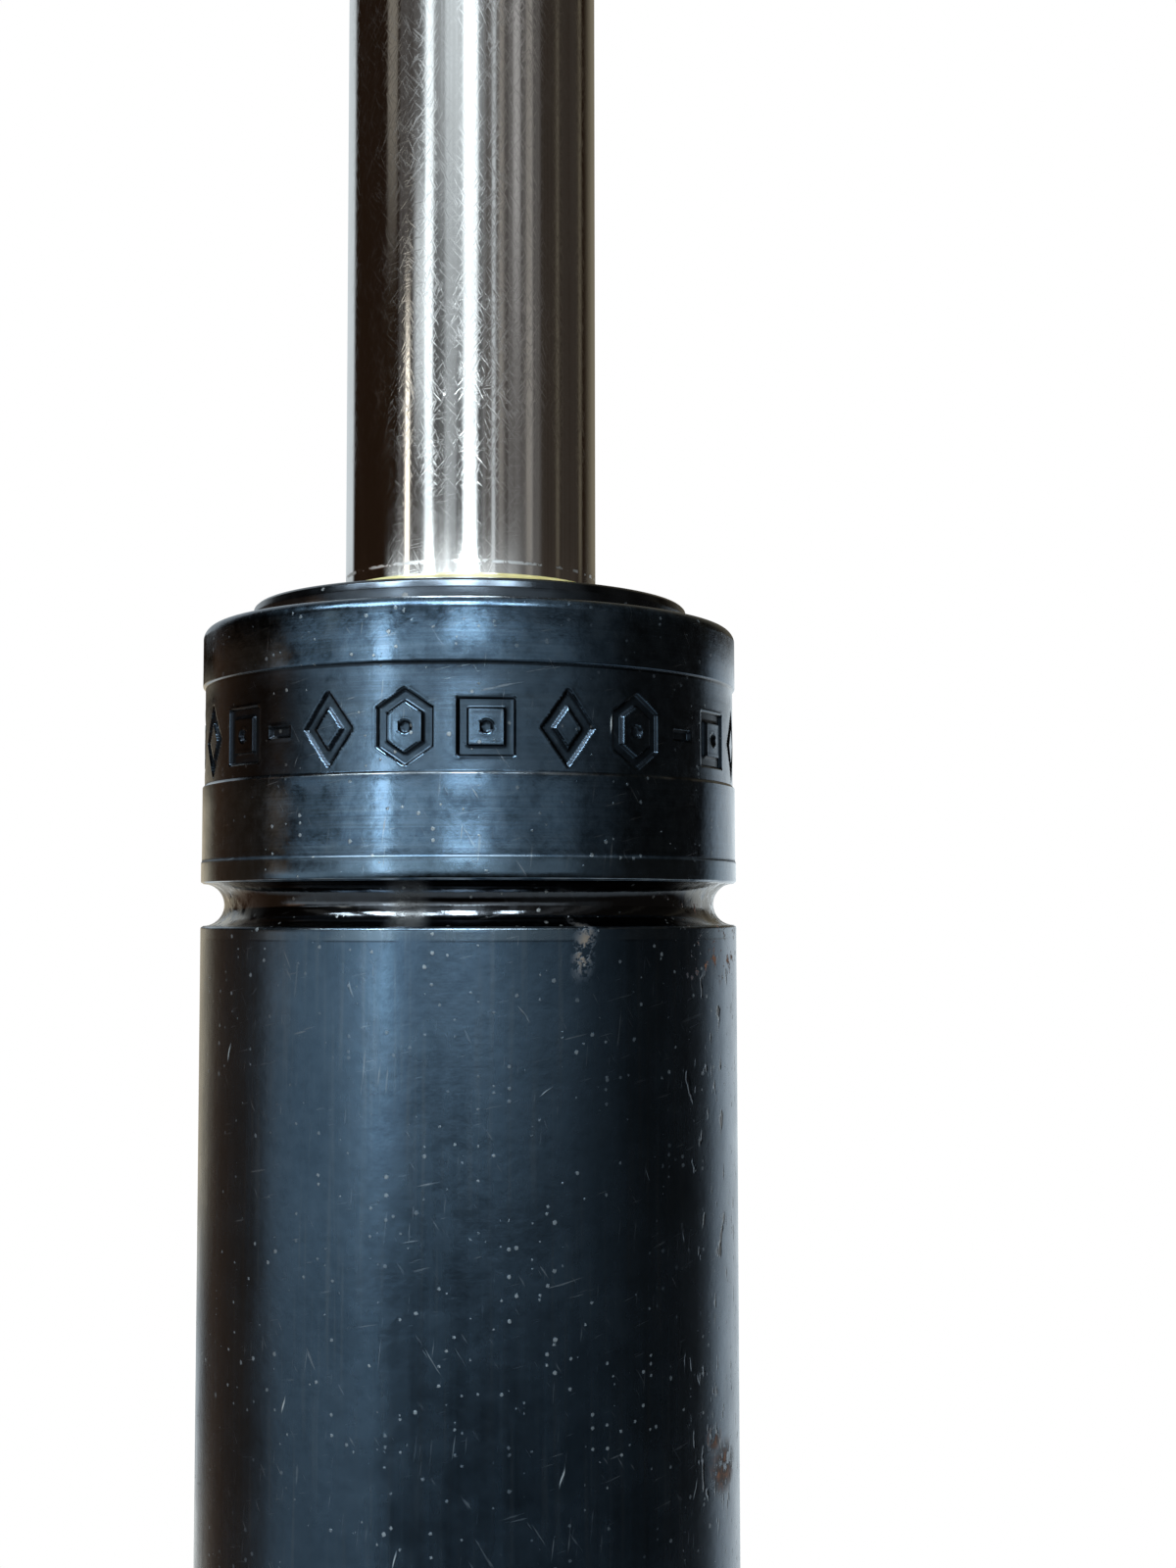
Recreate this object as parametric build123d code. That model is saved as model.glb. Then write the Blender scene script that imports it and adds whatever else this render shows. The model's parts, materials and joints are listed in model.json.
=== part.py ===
"""Self-contained nitrogen cylinder: one chromed plunger rod that telescopes in and out of a black-oxide body.

Frame: +Z is the cylinder axis and points towards the rod end. The origin is the centre of the flat base face.
Rest pose: rod fully extended. Every length is in millimetres.
Each physical piece is written to its own STEP file, parts/NAME.step.
"""

from build123d import *
from math import cos, pi, radians, sin
import os

os.makedirs("parts", exist_ok=True)

# ---------------------------------------------------------------- driving dimensions
STROKE = 200.0            # rod travel
BODY_D = 38.0             # body outside diameter
BORE_D = 30.0             # bore of the body
BODY_L = 261.0            # base face to rim
BASE_T = 17.0             # thickness of the closed end
ROD_D = 18.0              # chromed rod
OVERALL = BODY_L + STROKE + 4.0   # base face to rod end, extended

RIM_R = 0.85              # rounding of the rim
BAND_TOP, BAND_BOT, BAND_DEEP = 4.25, 11.15, 0.20     # marking band, depths below the rim
STEP_AT, STEP_DEEP = 16.45, 0.05                     # light turned step above the clamp groove
GROOVE_AT, GROOVE_R = 19.45, 1.5                     # upper clamp groove, depth below the rim and section radius
LOW_GROOVE_Z, LOW_GROOVE_W, LOW_GROOVE_DEEP = 9.5, 3.2, 1.5
BASE_CHAMFER = 0.8

MARK_H, MARK_W, MARK_STROKE, MARK_DEEP = 5.0, 3.7, 0.70, 0.22   # engraved geometric marks
MARK_AT = 8.35                                                   # centre depth below the rim
# angle round the body (0 faces -Y, positive towards +X) and shape of each mark
MARKS = [(-84.0, "hex"), (-68.5, "diamond"), (-53.0, "square"), (-28.9, "diamond"), (-12.8, "hex"), (3.0, "square"),
         (19.2, "diamond"), (34.8, "hex"), (61.0, "square"), (76.3, "diamond"), (91.6, "hex"),
         (140.0, "diamond"), (155.5, "hex"), (171.0, "square"), (186.5, "diamond")]
DASHES = [-41.0, 48.0, 115.8, -122.0]

LOCK_TOP, LOCK_T = 4.8, 1.6                          # lock-ring groove depth below the rim, and height
HOUSING_TOP, HOUSING_BOT = 6.4, 30.4
PISTON_TOP, PISTON_BOT = 30.5, 38.4
ROD_FOOT = 42.4

COVER_R, COVER_UP, COVER_HOLE_R = 15.6, 1.7, 9.9
LIP_UP = 3.05

BOLT_R, BOLT_X, BOLT_DEEP = 2.5, 10.0, 9.0           # tapping radius of the M6 holes
ROD_HOLE_R, ROD_HOLE_L, ROD_HOLE_SINK = 2.5, 12.0, 0.6

PORT_R, PORT_TOP = 4.0, 14.9
PORT_RECESS_R, PORT_RECESS_DEEP = 5.6, 2.2
PASSAGE_R = 1.5

R = BODY_D / 2
BR = BORE_D / 2
RR = ROD_D / 2
ZT = BODY_L


# ---------------------------------------------------------------- helpers
def turned(*parts):
    """Solid of revolution about Z from a closed outline. Each entry is a point (r, z), or an arc's ((mid), (end))."""
    edges = []
    at = parts[0]
    start = at
    for p in parts[1:]:
        if isinstance(p[0], tuple):
            edges.append(ThreePointArc((at[0], at[1]), p[0], p[1]))
            at = p[1]
        else:
            edges.append(Line((at[0], at[1]), p))
            at = p
    if at != start:
        edges.append(Line((at[0], at[1]), start))
    return revolve(make_face([Plane.XZ * e for e in edges]), Axis.Z, 360)


def ring(r0, r1, z0, z1, chamfer=0.0):
    """Plain ring, with its outer edges broken."""
    c = chamfer
    if c:
        return turned((r0, z0), (r1 - c, z0), (r1, z0 + c), (r1, z1 - c), (r1 - c, z1), (r0, z1))
    return turned((r0, z0), (r1, z0), (r1, z1), (r0, z1))


def hole(x, y, r, z0, z1):
    return Pos(x, y, (z0 + z1) / 2) * Cylinder(r, z1 - z0)


def fillet_mid(cx, cz, r, a0, a1):
    a = radians((a0 + a1) / 2)
    return (cx + r * cos(a), cz + r * sin(a))


def save(shape, name):
    solids = shape.solids()
    out = solids[0] if len(solids) == 1 else Compound(children=solids)
    out.label = name
    export_step(out, f"parts/{name}.step")
    print(name, len(solids), round(sum(s.volume for s in solids), 2))


def mark_at(angle):
    """Plane on the body's surface: x runs round the body, y runs up it."""
    a = radians(angle - 90)
    return Plane(origin=(R * cos(a), R * sin(a), ZT - MARK_AT), x_dir=(-sin(a), cos(a), 0), z_dir=(cos(a), sin(a), 0))


def mark(kind):
    """Outline of a hexagon, a diamond or a square; the hexagon and the square carry a centre dot."""
    w, h, t = MARK_W / 2, MARK_H / 2, MARK_STROKE
    if kind == "diamond":
        k = 1 - t * (1 / w**2 + 1 / h**2) ** 0.5
        return Polygon((0, h), (-w, 0), (0, -h), (w, 0)) - Polygon((0, h * k), (-w * k, 0), (0, -h * k), (w * k, 0))
    if kind == "hex":
        q = h / 2
        n = t * (1 + ((h - q) / w) ** 2) ** 0.5
        outer = Polygon((0, h), (-w, q), (-w, -q), (0, -h), (w, -q), (w, q))
        i = w - t
        e = h - n - i * (h - q) / w
        inner = Polygon((0, h - n), (-i, e), (-i, -e), (0, n - h), (i, -e), (i, e))
        return outer - inner + Circle(0.42)
    return Rectangle(2 * w, 2 * w) - Rectangle(2 * (w - t), 2 * (w - t)) + Circle(0.42)


# ---------------------------------------------------------------- cylinder body, one piece with a closed base
def cylinder_body():
    g0, g1 = ZT - GROOVE_AT - GROOVE_R, ZT - GROOVE_AT + GROOVE_R
    l0, l1 = LOW_GROOVE_Z - LOW_GROOVE_W / 2, LOW_GROOVE_Z + LOW_GROOVE_W / 2
    step_r = R - STEP_DEEP
    c = 0.12
    body = turned(
        (0, 0),
        (R - BASE_CHAMFER, 0),
        (R, BASE_CHAMFER),
        (R, l0 - 0.2),
        (R - 0.2, l0),
        (R - LOW_GROOVE_DEEP + 0.5, l0),
        (fillet_mid(R - LOW_GROOVE_DEEP + 0.5, l0 + 0.5, 0.5, 180, 270), (R - LOW_GROOVE_DEEP, l0 + 0.5)),
        (R - LOW_GROOVE_DEEP, l1 - 0.5),
        (fillet_mid(R - LOW_GROOVE_DEEP + 0.5, l1 - 0.5, 0.5, 90, 180), (R - LOW_GROOVE_DEEP + 0.5, l1)),
        (R - 0.2, l1),
        (R, l1 + 0.2),
        (R, g0 - c),
        (R - c, g0),
        ((R - GROOVE_R, (g0 + g1) / 2), (R - c, g1)),
        (R, g1 + c),
        (R, ZT - STEP_AT - 0.1),
        (step_r, ZT - STEP_AT),
        (step_r, ZT - BAND_BOT - 0.12),
        (R - BAND_DEEP, ZT - BAND_BOT + 0.06),
        (R - BAND_DEEP, ZT - BAND_TOP - 0.06),
        (R - 0.02, ZT - BAND_TOP + 0.12),
        (R - 0.02, ZT - RIM_R),
        (fillet_mid(R - 0.02 - RIM_R, ZT - RIM_R, RIM_R, 0, 90), (R - 0.02 - RIM_R, ZT)),
        (BR + 0.5, ZT),
        (BR, ZT - 0.5),
        (BR, ZT - LOCK_TOP),
        (BR + 1.3, ZT - LOCK_TOP),
        (BR + 1.3, ZT - LOCK_TOP - LOCK_T),
        (BR, ZT - LOCK_TOP - LOCK_T),
        (BR, BASE_T + 1.0),
        (fillet_mid(BR - 1.0, BASE_T + 1.0, 1.0, 270, 360), (BR - 1.0, BASE_T)),
        (0, BASE_T),
    )
    # gas port: seat for the washer and plug head, threaded length, narrow passage to the chamber
    body -= turned((0, -1), (PORT_RECESS_R, -1), (PORT_RECESS_R, PORT_RECESS_DEEP), (PORT_R, PORT_RECESS_DEEP),
                   (PORT_R, PORT_TOP), (PASSAGE_R, PORT_TOP), (PASSAGE_R, BASE_T + 1), (0, BASE_T + 1))
    # two tapped mounting holes
    for x in (-BOLT_X, BOLT_X):
        body -= Pos(x, 0, 0) * turned((0, -1), (BOLT_R + 1.6, -1), (BOLT_R, 0.6), (BOLT_R, BOLT_DEEP), (0, BOLT_DEEP + 1.5))
    # engraved geometric marks in the band, cut to one depth below its surface
    shell = ring(R - BAND_DEEP - MARK_DEEP, R + 1, ZT - BAND_BOT - 2, ZT - BAND_TOP + 2)
    for a, kind in MARKS:
        body -= (mark_at(a) * extrude(mark(kind), 3, both=True)) & shell
    for a in DASHES:
        body -= (mark_at(a) * extrude(Rectangle(1.9, MARK_STROKE), 3, both=True)) & shell
    return body


save(cylinder_body(), "cylinder_body")

# ---------------------------------------------------------------- gland stack in the mouth of the body
save(
    turned(
        (COVER_HOLE_R, ZT - 0.6),
        (12.9, ZT - 0.6),
        (12.9, ZT - 3.8),
        (14.6, ZT - 3.8),
        (14.9, ZT - 3.4),
        (14.9, ZT - 0.02),
        (COVER_R - 0.15, ZT + 0.02),
        (COVER_R, ZT + 0.2),
        (COVER_R, ZT + 1.05),
        (COVER_R - 0.12, ZT + 1.5),
        (COVER_R - 0.35, ZT + COVER_UP),
        (COVER_HOLE_R + 0.4, ZT + COVER_UP),
        (COVER_HOLE_R, ZT + COVER_UP - 0.3),
    ),
    "dust_cover",
)
# wiper: a seat ring under the cover, and a lip that stands round the rod above it
save(
    turned(
        (RR + 0.45, ZT - 3.7),
        (12.8, ZT - 3.7),
        (12.8, ZT - 0.65),
        (9.75, ZT - 0.65),
        (9.75, ZT + 1.6),
        (9.45, ZT + LIP_UP - 0.25),
        (9.2, ZT + LIP_UP),
        (RR + 0.04, ZT + LIP_UP - 0.15),
        (RR + 0.04, ZT + LIP_UP - 0.7),
        (RR + 0.45, ZT + 1.0),
    ),
    "rod_wiper",
)
lock = ring(13.4, 16.2, ZT - LOCK_TOP - LOCK_T + 0.02, ZT - LOCK_TOP - 0.05)
lock -= Rot(0, 0, 90) * Pos(15, 0, ZT - 5.6) * Box(8, 5.0, 4)
lock -= Rot(0, 0, 110) * hole(14.4, 0, 0.55, ZT - 8, ZT - 2)
lock -= Rot(0, 0, 70) * hole(14.4, 0, 0.55, ZT - 8, ZT - 2)
save(lock, "lock_ring")

save(
    turned(
        (10.5, ZT - 22.0),
        (13.0, ZT - 22.0),
        (13.0, ZT - HOUSING_BOT),
        (14.6, ZT - HOUSING_BOT),
        (14.96, ZT - HOUSING_BOT + 0.4),
        (14.96, ZT - 16.6),
        (12.4, ZT - 16.6),
        (12.4, ZT - 12.6),
        (14.96, ZT - 12.6),
        (14.96, ZT - HOUSING_TOP - 0.4),
        (14.6, ZT - HOUSING_TOP),
        (10.9, ZT - HOUSING_TOP),
        (10.5, ZT - HOUSING_TOP - 0.4),
    ),
    "guide_housing",
)
save(Pos(0, 0, ZT - 15.32) * Torus(13.69, 1.23), "guide_o_ring")
save(ring(12.45, 14.94, ZT - 14.02, ZT - 12.68), "guide_backup_ring")
save(
    turned((RR + 0.05, ZT - 20.6), (10.3, ZT - 20.6), (10.48, ZT - 20.3), (10.48, ZT - 7.3), (10.3, ZT - 7.0), (RR + 0.35, ZT - 7.0), (RR + 0.05, ZT - 7.4)),
    "rod_bushing",
)
save(ring(RR + 0.09, 12.95, ZT - 23.4, ZT - 22.05), "seal_backup_ring")
save(
    turned(
        (RR + 0.04, ZT - 28.3),
        (9.75, ZT - 28.45),
        (10.1, ZT - 26.4),
        (fillet_mid(11.0, ZT - 26.4, 0.9, 0, 180), (11.9, ZT - 26.4)),
        (12.25, ZT - 28.45),
        (12.93, ZT - 28.3),
        (12.93, ZT - 23.45),
        (RR + 0.12, ZT - 23.45),
    ),
    "rod_seal",
)
save(Pos(0, 0, ZT - 26.5) * Torus(11.0, 0.82), "seal_energiser")
save(ring(RR + 0.3, 12.96, ZT - HOUSING_BOT + 0.02, ZT - 28.55, 0.2), "seal_retainer")

# ---------------------------------------------------------------- rod and piston
rod = turned(
    (0, ZT - ROD_FOOT),
    (RR - 1.0, ZT - ROD_FOOT),
    (RR, ZT - ROD_FOOT + 1.0),
    (RR, ZT - 37.5),
    (RR - 1.4, ZT - 37.5),
    (RR - 1.4, ZT - 34.4),
    (RR, ZT - 34.4),
    (RR, OVERALL - 1.0),
    (RR - 0.12, OVERALL - 0.55),
    (RR - 0.7, OVERALL),
    (ROD_HOLE_R + ROD_HOLE_SINK, OVERALL),
    (ROD_HOLE_R, OVERALL - ROD_HOLE_SINK),
    (ROD_HOLE_R, OVERALL - ROD_HOLE_SINK - ROD_HOLE_L),
    (0, OVERALL - ROD_HOLE_SINK - ROD_HOLE_L - 1.5),
)
save(rod, "piston_rod")

collar = turned(
    (RR + 0.03, ZT - PISTON_TOP),
    (14.2, ZT - PISTON_TOP),
    (14.6, ZT - PISTON_TOP - 0.4),
    (14.6, ZT - 32.4),
    (13.0, ZT - 32.4),
    (13.0, ZT - 36.9),
    (14.6, ZT - 36.9),
    (14.6, ZT - PISTON_BOT + 0.4),
    (14.2, ZT - PISTON_BOT),
    (11.2, ZT - PISTON_BOT),
    (11.2, ZT - 34.4),
    (RR + 0.03, ZT - 34.4),
)
# the keeper ring's groove in the collar
collar -= ring(11.0, 11.8, ZT - 38.15, ZT - 37.55)
save(collar, "piston_collar")
halves = ring(RR - 1.35, 11.15, ZT - 37.45, ZT - 34.45)
halves -= Pos(0, 0, ZT - 36) * Box(0.6, 40, 6)
save(halves, "retainer_half_rings")
keeper = ring(RR + 0.3, 11.75, ZT - 38.12, ZT - 37.58)
keeper -= Rot(0, 0, 200) * Pos(10.5, 0, ZT - 37.85) * Box(4, 4.0, 2)
save(keeper, "keeper_ring")
guide = ring(13.06, 14.93, ZT - 36.85, ZT - 32.45, 0.2)
guide -= Rot(0, 0, 30) * Pos(14, 0, ZT - 34.6) * Rot(30, 0, 0) * Box(6, 1.2, 12)
save(guide, "piston_guide_ring")

# ---------------------------------------------------------------- charging valve and plug in the base
vb = turned((1.4, 7.4), (3.7, 7.4), (3.95, 7.65), (3.95, 10.75), (3.7, 11.0), (2.1, 11.0), (1.9, 10.8), (1.4, 10.3))
vb -= Pos(0, 0, 7.4) * Box(8, 1.0, 1.6)
save(vb, "valve_body")
save(turned((0, 7.9), (0.8, 7.9), (1.0, 8.1), (1.0, 11.6), (2.9, 11.6), (2.9, 12.15), (2.7, 12.35), (1.35, 12.35), (1.35, 12.9), (1.1, 13.1), (0, 13.1)), "valve_poppet")
save(ring(1.03, 2.8, 11.03, 11.58), "poppet_seal")
wire = 0.2
turns, height = 2.5, 14.86 - 12.38 - 2 * wire
coil = Helix(pitch=height / turns, height=height, radius=2.2, center=(0, 0, 12.38 + wire))
spring = sweep(Plane(coil @ 0, z_dir=coil % 0) * Circle(wire), coil)
save(spring, "valve_spring")

plug = turned((0, 0.3), (5.0, 0.3), (5.3, 0.6), (5.3, 1.5), (3.95, 1.5), (3.95, 6.4), (3.6, 6.8), (0, 6.8))
plug -= Pos(0, 0, 0) * extrude(RegularPolygon(2.0, 6, major_radius=False), 3.6)
plug -= turned((0, 0), (2.6, 0), (2.0, 0.75), (0, 0.75))
save(plug, "port_plug")
save(ring(4.05, 5.4, 1.52, 2.18), "port_plug_washer")
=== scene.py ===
import json
import math
from math import atan2, cos, pi, radians, sin, sqrt

import bpy
import bmesh
from mathutils import Matrix, Vector


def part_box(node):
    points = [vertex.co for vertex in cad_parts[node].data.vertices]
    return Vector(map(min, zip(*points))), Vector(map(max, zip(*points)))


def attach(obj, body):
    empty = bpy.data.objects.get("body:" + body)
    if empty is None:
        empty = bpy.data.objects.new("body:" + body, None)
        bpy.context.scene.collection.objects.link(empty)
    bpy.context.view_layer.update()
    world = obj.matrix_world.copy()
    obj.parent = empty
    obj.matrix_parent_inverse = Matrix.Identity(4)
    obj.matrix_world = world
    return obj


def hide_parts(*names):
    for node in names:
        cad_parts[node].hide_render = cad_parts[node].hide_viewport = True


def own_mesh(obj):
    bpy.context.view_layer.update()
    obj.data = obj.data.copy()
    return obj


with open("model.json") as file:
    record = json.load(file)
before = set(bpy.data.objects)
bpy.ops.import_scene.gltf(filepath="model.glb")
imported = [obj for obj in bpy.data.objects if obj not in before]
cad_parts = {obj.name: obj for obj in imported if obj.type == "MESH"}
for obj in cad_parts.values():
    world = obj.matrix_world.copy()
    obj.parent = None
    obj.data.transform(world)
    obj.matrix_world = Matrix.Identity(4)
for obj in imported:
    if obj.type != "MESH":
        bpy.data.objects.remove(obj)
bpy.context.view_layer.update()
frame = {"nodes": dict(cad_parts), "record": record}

scene = bpy.context.scene

# ------------------------------------------------------------------ sizes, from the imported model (millimetres in the helpers)
body_lo, body_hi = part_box("cylinder_body")
rod_lo, rod_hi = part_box("piston_rod")
ZT = body_hi.z * 1000          # rim of the body
R = body_hi.x * 1000           # outside radius
BR = 15.0
RODR = rod_hi.x * 1000
OVER = rod_hi.z * 1000
FOOT = rod_lo.z * 1000
MM = 0.001

# ------------------------------------------------------------------ camera
CAM_BELOW_RIM = 20.04
f_mm = 2048.94 / 1600 * 36
yaw, pitch, roll = radians(3.3506), radians(3.6697), radians(-0.0956)
fwd = Vector((sin(yaw) * cos(pitch), cos(yaw) * cos(pitch), sin(pitch)))
right = Vector((cos(yaw), -sin(yaw), 0))
up = right.cross(fwd)
r2 = right * cos(roll) + up * sin(roll)
u2 = up * cos(roll) - right * sin(roll)
cam_data = bpy.data.cameras.new("camera")
cam = bpy.data.objects.new("camera", cam_data)
scene.collection.objects.link(cam)
cam_data.sensor_fit = "AUTO"
cam_data.sensor_width = 36
cam_data.lens = f_mm
cam_data.clip_start, cam_data.clip_end = 0.005, 50
cam_data.dof.use_dof = False
m = Matrix((r2, u2, -fwd)).transposed().to_4x4()
m.translation = Vector((0, -0.14449, (ZT - CAM_BELOW_RIM) * MM))
cam.matrix_world = m
scene.camera = cam


# ------------------------------------------------------------------ node helpers
class Tree:
    """Short calls for building a node tree."""

    def __init__(self, tree):
        self.t = tree
        self.x = 0

    def node(self, kind, **kw):
        n = self.t.nodes.new(kind)
        self.x += 180
        n.location = (self.x, -(self.x % 900))
        for k, v in kw.items():
            setattr(n, k, v)
        return n

    def put(self, socket, value):
        if isinstance(value, bpy.types.NodeSocket):
            self.t.links.new(value, socket)
        elif value is not None:
            socket.default_value = value

    def math(self, op, a, b=None, c=None, clamp=False):
        n = self.node("ShaderNodeMath", operation=op, use_clamp=clamp)
        self.put(n.inputs[0], a)
        self.put(n.inputs[1], b)
        self.put(n.inputs[2], c)
        return n.outputs[0]

    def add(self, a, b): return self.math("ADD", a, b)
    def sub(self, a, b): return self.math("SUBTRACT", a, b)
    def mul(self, a, b): return self.math("MULTIPLY", a, b)
    def mx(self, a, b): return self.math("MAXIMUM", a, b)
    def mn(self, a, b): return self.math("MINIMUM", a, b)

    def step(self, x, lo, hi, a=0.0, b=1.0):
        """Smooth step of x from lo to hi, giving a to b."""
        n = self.node("ShaderNodeMapRange", interpolation_type="SMOOTHSTEP")
        self.put(n.inputs["Value"], x)
        self.put(n.inputs["From Min"], lo)
        self.put(n.inputs["From Max"], hi)
        self.put(n.inputs["To Min"], a)
        self.put(n.inputs["To Max"], b)
        return n.outputs[0]

    def lin(self, x, lo, hi, a=0.0, b=1.0):
        n = self.node("ShaderNodeMapRange", interpolation_type="LINEAR")
        self.put(n.inputs["Value"], x)
        self.put(n.inputs["From Min"], lo)
        self.put(n.inputs["From Max"], hi)
        self.put(n.inputs["To Min"], a)
        self.put(n.inputs["To Max"], b)
        return n.outputs[0]

    def window(self, x, lo, hi, soft):
        return self.mul(self.step(x, lo - soft, lo + soft), self.step(x, hi - soft, hi + soft, 1.0, 0.0))

    def combine(self, x, y, z):
        n = self.node("ShaderNodeCombineXYZ")
        self.put(n.inputs[0], x)
        self.put(n.inputs[1], y)
        self.put(n.inputs[2], z)
        return n.outputs[0]

    def noise(self, vector, scale, detail=2.0, rough=0.5, distortion=0.0):
        n = self.node("ShaderNodeTexNoise")
        self.put(n.inputs["Vector"], vector)
        n.inputs["Scale"].default_value = scale
        n.inputs["Detail"].default_value = detail
        n.inputs["Roughness"].default_value = rough
        n.inputs["Distortion"].default_value = distortion
        return n.outputs["Fac"]

    def voronoi(self, vector, scale, feature="F1", randomness=1.0, out="Distance"):
        n = self.node("ShaderNodeTexVoronoi", feature=feature)
        self.put(n.inputs["Vector"], vector)
        n.inputs["Scale"].default_value = scale
        n.inputs["Randomness"].default_value = randomness
        return n.outputs[out]

    def mix(self, fac, a, b):
        n = self.node("ShaderNodeMix", data_type="RGBA", clamp_factor=True)
        self.put(n.inputs["Factor"], fac)
        self.put(n.inputs[6], a if isinstance(a, bpy.types.NodeSocket) else (*a, 1.0))
        self.put(n.inputs[7], b if isinstance(b, bpy.types.NodeSocket) else (*b, 1.0))
        return n.outputs[2]

    def bump(self, height, distance, strength=1.0, normal=None):
        n = self.node("ShaderNodeBump")
        n.inputs["Strength"].default_value = strength
        n.inputs["Distance"].default_value = distance
        self.put(n.inputs["Height"], height)
        if normal is not None:
            self.put(n.inputs["Normal"], normal)
        return n.outputs["Normal"]


def material(name):
    mat = bpy.data.materials.new(name)
    mat.use_nodes = True
    t = Tree(mat.node_tree)
    bsdf = mat.node_tree.nodes["Principled BSDF"]
    coords = t.node("ShaderNodeTexCoord")
    return mat, t, bsdf, coords.outputs["Object"]


def cyl(t, obj):
    """Cylinder coordinates of an object-space point, in millimetres: arc angle in radians (0 faces -Y), height, radius."""
    s = t.node("ShaderNodeSeparateXYZ")
    t.put(s.inputs[0], obj)
    x, y, z = s.outputs
    phi = t.math("ARCTAN2", x, t.mul(y, -1.0))
    rad = t.math("SQRT", t.add(t.mul(x, x), t.mul(y, y)))
    return phi, t.mul(z, 1000.0), t.mul(rad, 1000.0), x, y, z


# ------------------------------------------------------------------ mesh helpers
def arc(cx, cz, r, a0, a1, n):
    return [(cx + r * cos(radians(a0 + (a1 - a0) * i / n)), cz + r * sin(radians(a0 + (a1 - a0) * i / n))) for i in range(n + 1)]


def rounded(points, closed=True):
    """Outline with its corners rounded. Each point is (r, z), (r, z, radius) or (r, z, radius, steps)."""
    n = len(points)
    out = []
    for i, p in enumerate(points):
        rad = p[2] if len(p) > 2 else 0
        steps = p[3] if len(p) > 3 else 4
        if not rad or (not closed and i in (0, n - 1)):
            out.append((p[0], p[1]))
            continue
        a, b, c = Vector(points[i - 1][:2]), Vector(p[:2]), Vector(points[(i + 1) % n][:2])
        u, v = (a - b).normalized(), (c - b).normalized()
        half = u.angle(v) / 2
        d = min(rad / math.tan(half), (a - b).length * 0.49, (c - b).length * 0.49)
        q = d * math.tan(half)
        centre = b + (u + v).normalized() * (q / sin(half))
        s, e = b + u * d, b + v * d
        a0, a1 = atan2(s.y - centre.y, s.x - centre.x), atan2(e.y - centre.y, e.x - centre.x)
        while a1 - a0 > pi: a1 -= 2 * pi
        while a1 - a0 < -pi: a1 += 2 * pi
        for k in range(steps + 1):
            t = a0 + (a1 - a0) * k / steps
            out.append((centre.x + q * cos(t), centre.y + q * sin(t)))
    return out


def fine(a, b, step):
    """Points from a to b, both left in, no further apart than step."""
    n = max(1, math.ceil(Vector((b[0] - a[0], b[1] - a[1])).length / step - 1e-6))
    return [(a[0] + (b[0] - a[0]) * i / n, a[1] + (b[1] - a[1]) * i / n) for i in range(n + 1)]


def new_object(name, bm, sharp=38):
    bmesh.ops.recalc_face_normals(bm, faces=bm.faces)
    me = bpy.data.meshes.new(name)
    bm.to_mesh(me)
    bm.free()
    ob = bpy.data.objects.new(name, me)
    scene.collection.objects.link(ob)
    me.shade_smooth()
    me.set_sharp_from_angle(angle=radians(sharp))
    return ob


def turned(name, rows, move=None, sharp=38):
    """Closed turned solid. rows is a list of (r, z, segments) round a closed outline, all in millimetres; r = 0 is a point on the axis.
    Neighbouring rows may differ in segments by a whole factor. move(phi, r, z) may shift a point."""
    bm = bmesh.new()
    loops = []
    for r, z, n in rows:
        if r < 1e-6:
            loops.append([bm.verts.new((0, 0, z * MM))])
            continue
        ring = []
        for k in range(n):
            phi = 2 * pi * k / n
            rr, zz = (r, z) if move is None else move(phi, r, z)
            ring.append(bm.verts.new((rr * sin(phi) * MM, -rr * cos(phi) * MM, zz * MM)))
        loops.append(ring)
    for i in range(len(loops)):
        a, b = loops[i], loops[(i + 1) % len(loops)]
        if len(a) == 1 and len(b) == 1:
            continue
        if len(a) > len(b):
            a, b = b, a
        n, q = len(a), len(b) // len(a)
        if n == 1:
            for k in range(len(b)):
                bm.faces.new((a[0], b[k], b[(k + 1) % len(b)]))
            continue
        for k in range(n):
            far = [b[(k * q + j) % len(b)] for j in range(q + 1)]
            bm.faces.new([a[(k + 1) % n], a[k], *far])
    return new_object(name, bm, sharp)


def rows(points, n):
    return [(p[0], p[1], n) for p in points]


def thread(pitch, depth, minor, z_mouth, run_in=0.8):
    """Point shifter that cuts an internal thread into a hole of the minor radius whose mouth is at z_mouth."""
    def move(phi, r, z):
        if abs(r - minor) > 1e-4:
            return r, z
        k = ((z / pitch) - phi / (2 * pi)) % 1.0
        v = abs(k * 2 - 1)
        cut = min(1.0, max(0.0, (v - 0.12) / 0.76))
        return r + depth * cut, z
    return move


# ------------------------------------------------------------------ body, high resolution
COARSE, FINE = 288, 864
BAND_TOP, BAND_BOT, BAND_DEEP = 4.25, 11.15, 0.20
STEP_AT, STEP_DEEP = 16.45, 0.05
GROOVE_AT, GROOVE_R = 19.45, 1.5
MARK_H, MARK_W, MARK_STROKE, MARK_DEEP, MARK_AT = 5.0, 3.7, 0.70, 0.21, 8.35
MARKS = [(-84.0, "hex"), (-68.5, "diamond"), (-53.0, "square"), (-28.9, "diamond"), (-12.8, "hex"), (3.0, "square"),
         (19.2, "diamond"), (34.8, "hex"), (61.0, "square"), (76.3, "diamond"), (91.6, "hex"),
         (140.0, "diamond"), (155.5, "hex"), (171.0, "square"), (186.5, "diamond")]
DASHES = [-41.0, 48.0, 115.8, -122.0]


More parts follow.
